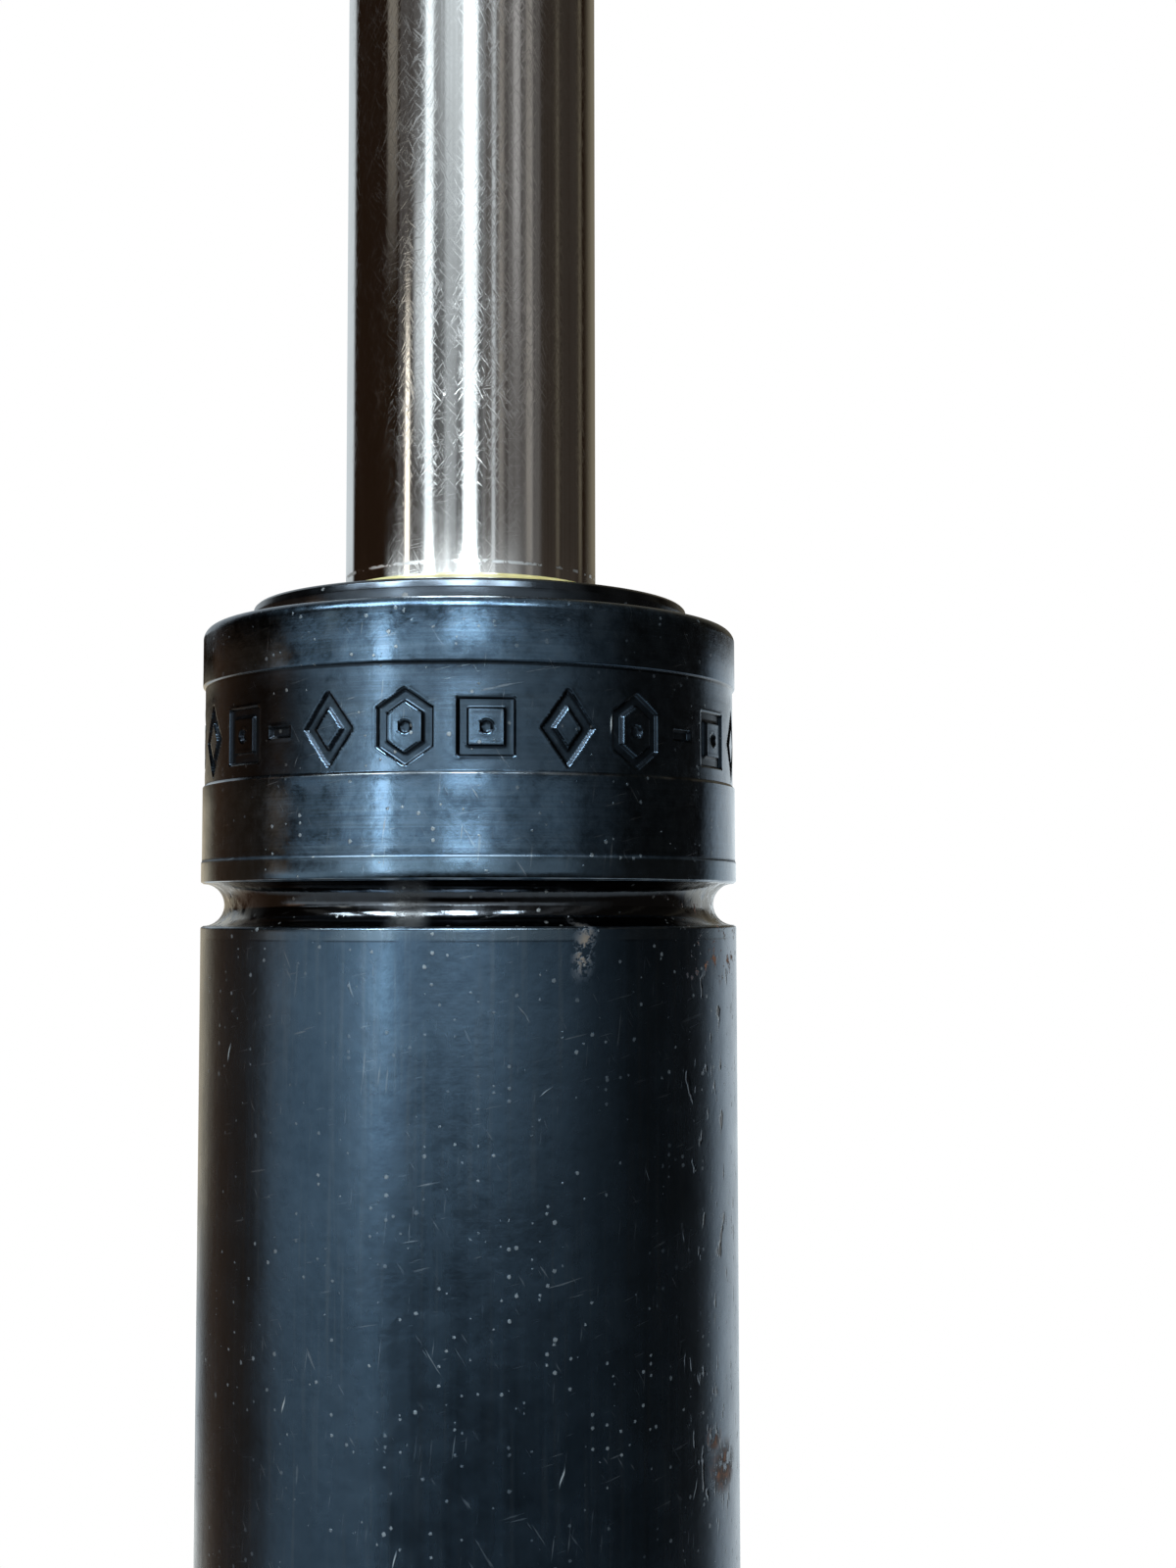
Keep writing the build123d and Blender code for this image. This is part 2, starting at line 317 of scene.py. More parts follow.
def signed(kind, u, v):
    """How far inside the stroke of a mark the point (u, v) is, in millimetres; negative is outside."""
    w, h, t = MARK_W / 2, MARK_H / 2, MARK_STROKE
    u, v = abs(u), abs(v)
    if kind == "dash":
        return min(0.95 - u, t / 2 - v)
    if kind == "diamond":
        edge = (1 - u / w - v / h) / sqrt(1 / w**2 + 1 / h**2)
    elif kind == "hex":
        q = h / 2
        slope = (h - q) / w
        edge = min(w - u, (h - slope * u - v) / sqrt(1 + slope**2))
    else:
        edge = min(w - u, w - v)
    stroke = min(edge, t - edge)
    if kind == "diamond":
        return stroke
    return max(stroke, 0.42 - sqrt(u * u + v * v))


def engraved(phi, z):
    deg = math.degrees(phi)
    best = -1.0
    for a, kind in MARKS + [(a, "dash") for a in DASHES]:
        d = (deg - a + 180) % 360 - 180
        if abs(d) < 7:
            best = max(best, signed(kind, R * sin(radians(d)), z - (ZT - MARK_AT)))
    return best


def cut_marks(phi, r, z):
    if abs(r - (R - BAND_DEEP)) > 0.01 or abs(z - (ZT - MARK_AT)) > MARK_H / 2 + 0.2:
        return r, z
    d = engraved(phi, z)
    t = min(1.0, max(0.0, (d + 0.04) / 0.16))
    t = t * t * (3 - 2 * t)
    # the stamped edge stands up by a few hundredths beside the stroke
    burr = 0.014 * math.exp(-((d + 0.10) / 0.08) ** 2) if d > -0.4 else 0.0
    return r - MARK_DEEP * t + burr, z


def body_rows():
    g0, g1 = ZT - GROOVE_AT - GROOVE_R, ZT - GROOVE_AT + GROOVE_R
    l0, l1 = 9.5 - 1.6, 9.5 + 1.6
    low = rounded([(1.5, 17.0, 0.2), (1.5, 14.9), (4.0, 14.9), (4.0, 2.2), (5.6, 2.2), (5.6, 0.0, 0.12), (R - 0.8, 0.0, 0.25), (R, 0.8, 0.25),
                   (R, l0, 0.22), (R - 1.5, l0, 0.5, 6), (R - 1.5, l1, 0.5, 6), (R, l1, 0.22), (R, 60.0), (R, 120.0), (R, 180.0), (R, 220.0), (R, g0 - 3.0)], closed=False)
    groove = [(R, g0 - 0.3)] + rounded([(R, g0 - 1.0), (R, g0 - 0.02, 0.14, 3), (R - 0.35, g0 + 0.005)], closed=False)[1:-1]
    groove += arc(R - 0.16, ZT - GROOVE_AT, 1.47, 270, 90, 22)
    groove += rounded([(R - 0.35, g1 - 0.005), (R, g1 + 0.02, 0.14, 3), (R, g1 + 1.0)], closed=False)[1:-1]
    mid = rounded([(R, ZT - 17.4), (R, ZT - STEP_AT - 0.05, 0.04, 2), (R - STEP_DEEP, ZT - STEP_AT + 0.03, 0.04, 2), (R - STEP_DEEP, ZT - 12.9),
                   (R - STEP_DEEP, ZT - BAND_BOT - 0.13, 0.05, 3), (R - BAND_DEEP, ZT - BAND_BOT + 0.05, 0.05, 3), (R - BAND_DEEP, ZT - 11.0)], closed=False)
    band = fine((R - BAND_DEEP, ZT - 10.9), (R - BAND_DEEP, ZT - 5.8), 0.104)
    top = rounded([(R - BAND_DEEP, ZT - 5.65), (R - BAND_DEEP, ZT - BAND_TOP - 0.02, 0.05, 3), (R - 0.02, ZT - BAND_TOP + 0.08, 0.10, 4), (R - 0.02, ZT - 2.5),
                   (R - 0.02, ZT, 0.85, 14), (BR + 0.5, ZT, 0.12, 3), (BR, ZT - 0.5), (BR, ZT - 4.8), (BR + 1.3, ZT - 4.8), (BR + 1.3, ZT - 6.4), (BR, ZT - 6.4),
                   (BR, 18.0), *arc(BR - 1.0, 18.0, 1.0, 0, -90, 5)[1:]], closed=False)
    out = rows(low, COARSE) + rows(groove, COARSE) + rows(mid, COARSE)
    out += rows(band, FINE)
    out += rows(top, COARSE)
    return out


def cutter(name, points, n, move=None):
    ob = turned(name, rows(points, n), move)
    return ob


body = turned("body_shell", body_rows(), cut_marks)
drill = turned("drill", rows([(0, -1.0), (3.6, -1.0), (3.05, 0.25), (2.5, 0.55)] + fine((2.5, 0.56), (2.5, 8.9), 0.125) + [(2.5, 9.0), (0, 10.5)], 72), thread(1.0, 0.48, 2.5, 0))
for x in (-0.010, 0.010):
    drill.location.x = x
    bpy.context.view_layer.update()
    mod = body.modifiers.new("hole", "BOOLEAN")
    mod.object = drill
    mod.operation = "DIFFERENCE"
    mod.solver = "MANIFOLD"
    with bpy.context.temp_override(object=body, active_object=body, selected_objects=[body]):
        bpy.ops.object.modifier_apply(modifier="hole")
bpy.data.objects.remove(drill)
body.data.shade_smooth()
body.data.set_sharp_from_angle(angle=radians(38))

# ------------------------------------------------------------------ cover, wiper and rod, high resolution
cover = turned("mouth_cover", rows(rounded([
    (9.9, ZT - 0.6), (12.9, ZT - 0.6), (12.9, ZT - 3.8), (14.6, ZT - 3.8), (14.9, ZT - 3.4), (14.9, ZT - 0.02), (15.58, ZT + 0.02, 0.1, 3),
    (15.59, ZT + 1.05, 0.3, 4), (15.47, ZT + 1.5, 0.2, 4), (15.24, ZT + 1.7, 0.25, 4), (9.9, ZT + 1.7, 0.3, 5)]), 320))
wiper = turned("wiper_lip", rows(rounded([
    (9.45, ZT - 3.7), (12.8, ZT - 3.7), (12.8, ZT - 0.65), (9.75, ZT - 0.65), (9.75, ZT + 1.6, 0.3, 4), (9.5, ZT + 2.85, 0.12, 4), (9.15, ZT + 3.05, 0.06, 3),
    (9.04, ZT + 2.9, 0.05, 2), (9.04, ZT + 2.3), (9.45, ZT + 1.0)]), 256))

hole = fine((2.5, OVER - 12.6), (2.5, OVER - 0.62), 0.125)
rod = turned("plunger_rod", rows([(0, FOOT)], 1) + rows(rounded([(4.0, FOOT), (RODR, FOOT, 1.0, 6), (RODR, ZT - 37.5), (RODR - 1.4, ZT - 37.5), (RODR - 1.4, ZT - 34.4), (RODR, ZT - 34.4)], closed=False), 288)
             + rows([(RODR, ZT - 33.0), (RODR, ZT - 10), (RODR, ZT + 5), (RODR, ZT + 50), (RODR, ZT + 100), (RODR, ZT + 150)], 288)
             + rows(rounded([(RODR, OVER - 3.0), (RODR, OVER - 0.7, 0.8, 6), (RODR - 0.7, OVER, 0.25, 5), (3.1, OVER, 0.08, 2), (2.5, OVER - 0.6)], closed=False), 288)
             + rows(hole[::-1], 96) + rows([(0, OVER - 14.1)], 1), thread(1.0, 0.48, 2.5, 0))

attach(body, "cylinder")
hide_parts("cylinder_body")
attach(cover, "cylinder")
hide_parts("dust_cover")
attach(wiper, "cylinder")
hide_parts("rod_wiper")
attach(rod, "rod")
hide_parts("piston_rod")


def coil_spring(name, radius, wire, z0, z1, dead=0.75, live=1.5, per_turn=40, sides=12):
    """A round-wire compression spring with closed ends, standing between two heights, in millimetres."""
    total = 2 * dead + live
    lift = wire * 1.04
    rest = (z1 - z0 - wire) - 2 * dead * lift
    bm = bmesh.new()
    loops = []
    steps = int(total * per_turn)
    for i in range(steps + 1):
        turn = total * i / steps
        z = z0 + wire / 2 + lift * min(turn, dead) + rest * min(max(turn - dead, 0.0), live) / live + lift * max(turn - dead - live, 0.0)
        out = Vector((cos(2 * pi * turn), sin(2 * pi * turn), 0.0))
        centre = out * radius + Vector((0.0, 0.0, z))
        loops.append([bm.verts.new((centre + (out * cos(2 * pi * k / sides) + Vector((0, 0, 1)) * sin(2 * pi * k / sides)) * (wire / 2)) * MM) for k in range(sides)])
    for a, b in zip(loops, loops[1:]):
        for k in range(sides):
            bm.faces.new((a[k], b[k], b[(k + 1) % sides], a[(k + 1) % sides]))
    bm.faces.new(loops[0])
    bm.faces.new(list(reversed(loops[-1])))
    bmesh.ops.recalc_face_normals(bm, faces=bm.faces)
    return new_object(name, bm)


# the charging valve's spring, a coil between the heights of the model's valve spring
spring_lo, spring_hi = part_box("valve_spring")
spring = coil_spring("charge_spring", 2.2, 0.4, spring_lo.z * 1000, spring_hi.z * 1000)
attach(spring, "cylinder")
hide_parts("valve_spring")
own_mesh(spring)


# ------------------------------------------------------------------ materials
def speck(t, obj, scale, size, share, seed, ragged=0.5):
    """Scattered ragged specks: one or none to each cell of a Voronoi pattern. Gives the mask and a random value to the speck."""
    v = t.node("ShaderNodeVectorMath", operation="ADD")
    t.put(v.inputs[0], obj)
    v.inputs[1].default_value = (seed, seed * 0.37, seed * 0.71)
    n = t.node("ShaderNodeTexVoronoi", feature="F1")
    t.put(n.inputs["Vector"], v.outputs[0])
    n.inputs["Scale"].default_value = scale
    cs = t.node("ShaderNodeSeparateColor")
    t.put(cs.inputs[0], n.outputs["Color"])
    keep = t.math("LESS_THAN", cs.outputs[0], share)
    rsize = t.mul(t.add(t.mul(cs.outputs[1], 0.9), 0.25), size)
    wob = t.mul(t.sub(t.noise(v.outputs[0], scale * 7.0, 2.0, 0.6), 0.5), size * ragged * 2.4)
    return t.mul(t.step(t.add(n.outputs["Distance"], wob), t.mul(rsize, 0.7), rsize, 1.0, 0.0), keep), cs.outputs[2]


def hairline(t, u, v, angle, along, across, seed, lo, hi, bend=None):
    """Fine straight scratches at an angle on an unrolled surface, u and v in millimetres. Gives the mask and the raw pattern."""
    ca, sa = cos(radians(angle)), sin(radians(angle))
    a = t.add(t.mul(u, ca), t.mul(v, sa))
    b = t.sub(t.mul(v, ca), t.mul(u, sa))
    if bend is not None:
        b = t.add(b, bend)
    n = t.noise(t.combine(t.mul(a, along), t.mul(b, across), seed), 1.0, 2.0, 0.6)
    return t.step(n, lo, hi), n


def black_oxide():
    """Black oxide on turned steel: low blue-black reflectance, satin on the long body and glossier round the mouth,
    dust, lint, wear and a little rust, with painted shade and painted highlight round the band, the marks and the step.
    """
    mat, t, bsdf, obj = material("black_oxide_steel")
    phi, z, rad, x, y, zz = cyl(t, obj)
    arcmm = t.mul(phi, R)
    below = t.sub(ZT, z)                                      # depth below the rim
    mouth = t.step(below, 20.75, 21.15, 1.0, 0.0)             # 1 above the clamp groove's lower lip
    band = t.window(below, BAND_TOP + 0.1, BAND_BOT - 0.05, 0.06)
    lowcollar = t.window(below, BAND_BOT + 0.1, 17.9, 0.1)
    ingroove = t.mul(t.step(rad, R - 0.10, R - 0.05, 1.0, 0.0), t.window(below, 18.0, 20.9, 0.05))
    # painted shade in the engraved strokes: the first mask gives their floors, the next their steep walls
    cut = t.mul(t.step(rad, R - BAND_DEEP - 0.14, R - BAND_DEEP - 0.05, 1.0, 0.0), band)
    painted_flank_shade = t.mul(t.window(rad, R - BAND_DEEP - 0.185, R - BAND_DEEP - 0.03, 0.015), band)
    cloud = t.noise(obj, 55.0, 4.0, 0.6)
    cloud2 = t.noise(obj, 260.0, 3.0, 0.6)
    mottle = t.noise(obj, 1150.0, 4.0, 0.68)
    # turning marks: rings stretched round the axis, stronger in some places than in others
    rings = t.noise(t.combine(t.mul(x, 30.0), t.mul(y, 30.0), t.mul(zz, 2600.0)), 1.0, 3.0, 0.7)
    rings2 = t.noise(t.combine(t.mul(x, 140.0), t.mul(y, 140.0), t.mul(zz, 8000.0)), 1.0, 2.0, 0.6)
    ringp = t.lin(t.noise(t.combine(t.mul(x, 70.0), t.mul(y, 70.0), t.mul(zz, 160.0)), 1.0, 2.0), 0.35, 0.65, 0.25, 1.0)
    # handling streaks along the body
    streak = t.noise(t.combine(t.mul(x, 900.0), t.mul(y, 900.0), t.mul(zz, 22.0)), 1.0, 3.0, 0.65)
    streak2 = t.noise(t.combine(t.mul(x, 2600.0), t.mul(y, 2600.0), t.mul(zz, 70.0)), 1.0, 2.0, 0.6)

    base = t.mix(t.lin(cloud, 0.3, 0.7), (0.034, 0.058, 0.086), (0.053, 0.086, 0.124))
    base = t.mix(t.mul(t.lin(mottle, 0.42, 0.66), t.lin(mouth, 0.0, 1.0, 0.16, 0.50)), base, (0.074, 0.108, 0.146))
    base = t.mix(t.mul(t.lin(mottle, 0.50, 0.30), t.lin(mouth, 0.0, 1.0, 0.14, 0.45)), base, (0.020, 0.027, 0.036))
    base = t.mix(t.mul(t.mul(t.lin(rings, 0.48, 0.72), ringp), t.mul(mouth, 0.38)), base, (0.095, 0.135, 0.170))
    base = t.mix(t.mul(t.mul(t.lin(rings2, 0.55, 0.42), ringp), t.mul(mouth, 0.28)), base, (0.018, 0.025, 0.033))
    base = t.mix(t.mul(t.lin(streak2, 0.55, 0.70), t.mul(t.sub(1.0, mouth), 0.30)), base, (0.085, 0.110, 0.132))
    base = t.mix(t.mul(band, 0.30), base, (0.036, 0.050, 0.064))
    base = t.mix(t.mul(t.window(below, STEP_AT + 0.05, 17.85, 0.05), 0.35), base, (0.085, 0.125, 0.160))

    # dust: ragged specks in several sizes, thicker in some places
    thick = t.lin(t.noise(obj, 90.0, 2.0, 0.6), 0.36, 0.62, 0.25, 1.0)
    s1, c1 = speck(t, obj, 190.0, 0.030, 0.020, 3.1)
    s2, c2 = speck(t, obj, 480.0, 0.070, 0.011, 7.7)
    s3, c3 = speck(t, obj, 1000.0, 0.14, 0.018, 1.3)
    s4, c4 = speck(t, obj, 2100.0, 0.30, 0.16, 5.9)
    dust = t.mx(t.mx(s1, t.mul(s2, 0.8)), t.mul(t.mx(t.mul(s3, 0.45), t.mul(s4, 0.30)), thick))
    # lint: short pale strokes at several slants
    bendy = t.mul(t.sub(t.noise(obj, 500.0, 1.0), 0.5), 0.9)

    def lint(angle, seed, share):
        ca, sa = cos(radians(angle)), sin(radians(angle))
        a = t.add(t.mul(arcmm, ca), t.mul(z, sa))
        b = t.add(t.sub(t.mul(z, ca), t.mul(arcmm, sa)), bendy)
        n = t.node("ShaderNodeTexVoronoi", feature="F1", voronoi_dimensions="3D")
        t.put(n.inputs["Vector"], t.combine(t.mul(t.add(a, seed), 0.20), t.mul(b, 2.2), seed))
        n.inputs["Scale"].default_value = 0.75
        cs = t.node("ShaderNodeSeparateColor")
        t.put(cs.inputs[0], n.outputs["Color"])
        return t.mul(t.step(n.outputs["Distance"], 0.05, 0.12, 1.0, 0.0), t.math("LESS_THAN", cs.outputs[0], share))

    hairs = t.mx(t.mx(lint(78, 4.0, 0.040), lint(-62, 19.0, 0.035)), lint(35, 31.0, 0.03))
    hairs = t.mul(hairs, t.lin(cloud2, 0.38, 0.62, 0.1, 0.75))
    # fine scratches through the blacking
    f1, _ = hairline(t, arcmm, z, 12, 0.30, 3.4, 2.0, 0.66, 0.72)
    f2, _ = hairline(t, arcmm, z, -58, 0.32, 3.0, 6.0, 0.67, 0.73)
    f3, _ = hairline(t, arcmm, z, 84, 0.22, 3.6, 12.0, 0.66, 0.73)
    fine_s = t.mul(t.mx(t.mx(f1, f2), f3), t.lin(cloud2, 0.42, 0.62))

    # bare, worn metal on the lips of the clamp groove, and painted highlight: a light line along the up-facing bottom
    # edge of the band and, fainter, along the step
    edge = t.mx(t.window(below, 11.19, 11.33, 0.05), t.mul(t.mx(t.window(below, 17.84, 17.96, 0.05), t.window(below, 20.94, 21.06, 0.05)), 0.7))
    edge = t.mul(edge, t.lin(t.noise(obj, 420.0, 3.0, 0.7), 0.40, 0.60))
    # painted shade: a dark line along the top edge of the band, where its down-facing wall lies in shade
    painted_band_shade = t.window(below, 4.20, 4.42, 0.05)
    # painted highlight: a faint light line along the step
    edge = t.mx(edge, t.mul(t.mul(t.window(below, STEP_AT - 0.03, STEP_AT + 0.07, 0.04), t.lin(cloud2, 0.40, 0.58)), 0.20))

    def patch(angle, depth, ra, rz):
        da = t.mul(t.sub(arcmm, R * radians(angle)), 1.0 / ra)
        dz = t.mul(t.sub(below, depth), 1.0 / rz)
        return t.step(t.math("SQRT", t.add(t.mul(da, da), t.mul(dz, dz))), 0.25, 1.0, 1.0, 0.0)

    # rust and pits low on the right-hand side
    rust_n = t.noise(obj, 1100.0, 4.0, 0.7)
    rust = t.mul(patch(63, 57.0, 3.0, 2.2), t.step(rust_n, 0.42, 0.49))
    rust = t.mx(rust, t.mul(patch(58, 54.8, 1.6, 1.2), t.step(rust_n, 0.44, 0.51)))
    rust = t.mx(rust, t.mul(patch(-150, 92, 5.0, 3.2), t.step(rust_n, 0.50, 0.58)))
    rust = t.mx(rust, t.mul(t.mul(t.window(phi, 0.85, 1.35, 0.05), t.window(below, 19.0, 24.5, 1.0)), t.step(rust_n, 0.60, 0.66)))
    pit_zone = t.mul(t.window(phi, 0.84, 1.35, 0.10), t.window(below, 23.0, 60.0, 2.0))
    pits = t.mul(pit_zone, t.step(t.noise(t.combine(t.mul(x, 1100.0), t.mul(y, 1100.0), t.mul(zz, 420.0)), 1.0, 2.0, 0.6), 0.62, 0.70))
    # dried oil and dirt: a run below the groove, and a film in the groove's ends
    run = t.mul(t.step(t.math("ABSOLUTE", t.sub(phi, t.add(0.385, t.mul(t.sub(t.noise(obj, 160.0), 0.5), 0.10)))), 0.0, 0.055, 1.0, 0.0), t.window(below, 20.9, 23.8, 0.9))
    run = t.mul(run, t.step(t.noise(obj, 1500.0, 3.0, 0.7), 0.44, 0.57))
    film = t.mul(t.mul(ingroove, t.window(t.math("ABSOLUTE", phi), 1.05, 1.75, 0.22)), t.step(t.noise(obj, 900.0, 3.0, 0.6), 0.34, 0.58))
    frost = t.mul(t.mul(ingroove, t.window(phi, -0.290, -0.160, 0.030)), t.lin(mottle, 0.3, 0.6, 0.4, 1.0))

    # painted highlight and wear: the light edge lines at the band's bottom, the step and the groove lips
    colour = t.mix(t.mul(edge, 0.60), base, (0.34, 0.37, 0.39))
    colour = t.mix(t.mul(fine_s, 0.35), colour, (0.26, 0.29, 0.31))
    # painted shade along the band's top edge
    colour = t.mix(t.mul(painted_band_shade, 0.80), colour, (0.006, 0.007, 0.008))
    # a lighter strip under the groove's lower lip, and below it a painted shade line standing in for the shade of a
    # small ledge that the mesh does not have
    colour = t.mix(t.mul(t.mul(t.window(below, 20.98, 21.75, 0.06), t.lin(cloud2, 0.35, 0.55)), 0.35), colour, (0.105, 0.135, 0.155))
    colour = t.mix(t.mul(t.window(below, 21.76, 21.86, 0.05), t.lin(cloud2, 0.40, 0.55, 0.0, 0.6)), colour, (0.012, 0.014, 0.017))
    # painted reflection: a dark patch on one stretch of the band, standing in for a dark object reflected there
    colour = t.mix(t.mul(t.mul(band, t.window(phi, -1.05, -0.60, 0.12)), 0.78), colour, (0.010, 0.011, 0.013))
    # painted shade: the stroke floors darkened a little and their steep walls darker still
    colour = t.mix(t.mul(cut, 0.45), colour, (0.012, 0.015, 0.018))
    colour = t.mix(t.mul(painted_flank_shade, 0.85), colour, (0.006, 0.007, 0.009))
    colour = t.mix(t.mul(ingroove, 0.7), colour, (0.055, 0.052, 0.050))
    colour = t.mix(t.mul(film, 0.75), colour, (0.30, 0.26, 0.20))
    colour = t.mix(t.mul(frost, 0.40), colour, (0.085, 0.085, 0.080))
    colour = t.mix(t.mul(run, 0.8), colour, (0.105, 0.078, 0.050))
    colour = t.mix(pits, colour, (0.008, 0.008, 0.009))
    colour = t.mix(rust, colour, t.mix(t.lin(rust_n, 0.5, 0.65), (0.018, 0.009, 0.006), (0.13, 0.050, 0.022)))
    red, _ = speck(t, obj, 330.0, 0.085, 0.012, 11.9)
    colour = t.mix(t.mul(red, 0.8), colour, (0.30, 0.06, 0.03))
    colour = t.mix(t.mul(t.mx(dust, t.mul(hairs, 0.8)), 0.85), colour, (0.50, 0.52, 0.50))
    t.put(bsdf.inputs["Base Color"], colour)

    dull = t.mx(t.mx(dust, hairs), t.mx(t.mx(t.mul(film, 0.6), rust), t.mx(run, t.mul(frost, 0.35))))
    t.put(bsdf.inputs["Metallic"], t.math("SUBTRACT", 1.0, t.mul(dull, 0.95), clamp=True))
    rough = t.add(t.lin(cloud2, 0.2, 0.8, 0.21, 0.31), t.mul(t.sub(streak, 0.5), 0.14))
    rough_m = t.add(t.lin(cloud2, 0.2, 0.8, 0.10, 0.22), t.mul(t.sub(mottle, 0.5), 0.24))
    rough_m = t.add(rough_m, t.add(t.add(t.mul(band, 0.05), t.mul(cut, 0.12)), t.add(t.mul(t.step(below, 1.2, 0.3), 0.10), t.mul(t.window(below, STEP_AT - 0.12, STEP_AT + 0.12, 0.08), 0.22))))
    n = t.node("ShaderNodeMix", data_type="FLOAT")
    t.put(n.inputs[0], mouth); t.put(n.inputs[2], rough); t.put(n.inputs[3], rough_m)
    n2 = t.node("ShaderNodeMix", data_type="FLOAT")
    t.put(n2.inputs[0], ingroove); t.put(n2.inputs[2], n.outputs[0]); n2.inputs[3].default_value = 0.10
    rr = t.math("ADD", n2.outputs[0], t.add(t.mul(dull, 0.45), t.mul(fine_s, 0.12)), clamp=True)
    t.put(bsdf.inputs["Roughness"], rr)

    height = t.mul(t.add(t.mul(rings, 0.5), t.mul(rings2, 0.25)), ringp)
    b = t.bump(height, 0.000005, 0.6)
    b = t.bump(cloud2, 0.00006, 0.5, b)
    b = t.bump(mottle, 0.000016, 0.6, b)
    b = t.bump(t.add(t.mul(dull, 1.0), t.mul(pits, -2.0)), 0.00005, 0.6, b)
    t.put(bsdf.inputs["Normal"], b)
    return mat


def chrome():
    """Hard chrome, ground and polished: near-mirror, with a slight axial waviness, a haze of fine crossing scratches and a few nicks."""
    mat, t, bsdf, obj = material("hard_chrome_plate")
    phi, z, rad, x, y, zz = cyl(t, obj)
    arcmm = t.mul(phi, RODR)
    bend = t.mul(t.sub(t.noise(obj, 60.0, 1.0), 0.5), 0.9)
    masks, raws = [], []
    for k, (angle, along, across, seed) in enumerate(((50, 0.50, 5.2, 1.0), (-48, 0.50, 5.0, 5.0), (64, 0.45, 5.5, 9.0), (-66, 0.45, 5.2, 14.0), (8, 0.35, 6.0, 21.0))):
        m, n = hairline(t, arcmm, z, angle, along, across, seed, 0.57, 0.68, bend)
        masks.append(m)
        raws.append(n)
    zone = t.lin(t.noise(obj, 75.0, 3.0, 0.6), 0.34, 0.58, 0.30, 1.0)
    worn = t.lin(z, ZT + 6.0, ZT + 15.0, 0.25, 1.0)            # the lowest few millimetres ride in the seals and stay cleaner
    line = t.mx(t.mx(masks[0], masks[1]), t.mx(t.mx(masks[2], masks[3]), t.mul(masks[4], 0.6)))
    line = t.mul(line, t.mul(zone, worn))
    patches = t.noise(obj, 120.0, 3.0, 0.6)
    nick, _ = speck(t, obj, 210.0, 0.040, 0.10, 2.3)
    nick2, _ = speck(t, obj, 520.0, 0.085, 0.05, 6.1)
    nick = t.mx(nick, t.mul(nick2, 0.7))
    # a broken ring of dust and oil left on the rod just above the wiper lip
    ring = t.mul(t.window(z, ZT + 3.75, ZT + 3.95, 0.07), t.step(t.noise(obj, 900.0, 3.0, 0.7), 0.47, 0.56))
    colour = t.mix(t.lin(patches, 0.3, 0.7), (0.86, 0.86, 0.85), (0.79, 0.785, 0.77))
    colour = t.mix(t.mul(nick, 0.7), colour, (0.22, 0.20, 0.18))
    colour = t.mix(t.mul(ring, 0.6), colour, (0.50, 0.54, 0.56))
    t.put(bsdf.inputs["Base Color"], colour)
    bsdf.inputs["Metallic"].default_value = 1.0
    haze = t.mul(t.lin(t.noise(t.combine(t.mul(x, 700.0), t.mul(y, 700.0), t.mul(zz, 60.0)), 1.0, 3.0, 0.6), 0.42, 0.66), 0.04)
    rough = t.add(t.add(t.lin(patches, 0.3, 0.7, 0.045, 0.070), haze), t.mul(line, 0.10))
    t.put(bsdf.inputs["Roughness"], t.math("ADD", rough, t.add(t.mul(nick, 0.3), t.mul(ring, 0.4)), clamp=True))
    wave = t.noise(t.combine(t.mul(x, 620.0), t.mul(y, 620.0), t.mul(zz, 14.0)), 1.0, 3.0, 0.55)
    b = t.bump(wave, 0.0000045, 0.8)
    b = t.bump(t.mul(t.add(t.add(raws[0], raws[1]), t.add(raws[2], raws[3])), t.mul(zone, worn)), 0.0000007, 0.8, b)
    b = t.bump(t.mul(line, -1.0), 0.0000020, 0.8, b)
    b = t.bump(t.mul(nick, -1.0), 0.00004, 1.0, b)
    t.put(bsdf.inputs["Normal"], b)
    return mat


def gloss_black():
    """Gloss black finish of the dust cover: low neutral reflectance with dust in the corners, and painted shade
    darkening its lower side next to the rim.
    """
    mat, t, bsdf, obj = material("gloss_black_cover")
    phi, z, rad, x, y, zz = cyl(t, obj)
    cloud = t.noise(obj, 320.0, 3.0, 0.6)
    rings = t.noise(t.combine(t.mul(x, 60.0), t.mul(y, 60.0), t.mul(zz, 4000.0)), 1.0, 2.0, 0.6)
    low = t.step(z, ZT + 0.75, ZT + 0.15)
    s1, _ = speck(t, obj, 420.0, 0.11, 0.20, 2.2)
    s2, _ = speck(t, obj, 900.0, 0.22, 0.22, 8.4)
    dust = t.mx(t.mul(s1, 0.9), t.mul(s2, t.add(0.45, t.mul(low, 0.5))))
    colour = t.mix(t.lin(cloud, 0.3, 0.7), (0.040, 0.050, 0.062), (0.064, 0.078, 0.094))
    # painted shade: the lower side of the cover, next to the rim, darkened
    colour = t.mix(t.mul(low, 0.45), colour, (0.020, 0.023, 0.026))
    t.put(bsdf.inputs["Base Color"], t.mix(t.mul(dust, 0.7), colour, (0.30, 0.31, 0.30)))
    t.put(bsdf.inputs["Metallic"], t.math("SUBTRACT", 1.0, t.mul(dust, 0.9), clamp=True))
    t.put(bsdf.inputs["Roughness"], t.add(t.lin(cloud, 0.3, 0.7, 0.17, 0.27), t.mul(dust, 0.4)))
    b = t.bump(rings, 0.000010, 0.6)
    b = t.bump(cloud, 0.00004, 0.5, b)
    t.put(bsdf.inputs["Normal"], b)
    return mat


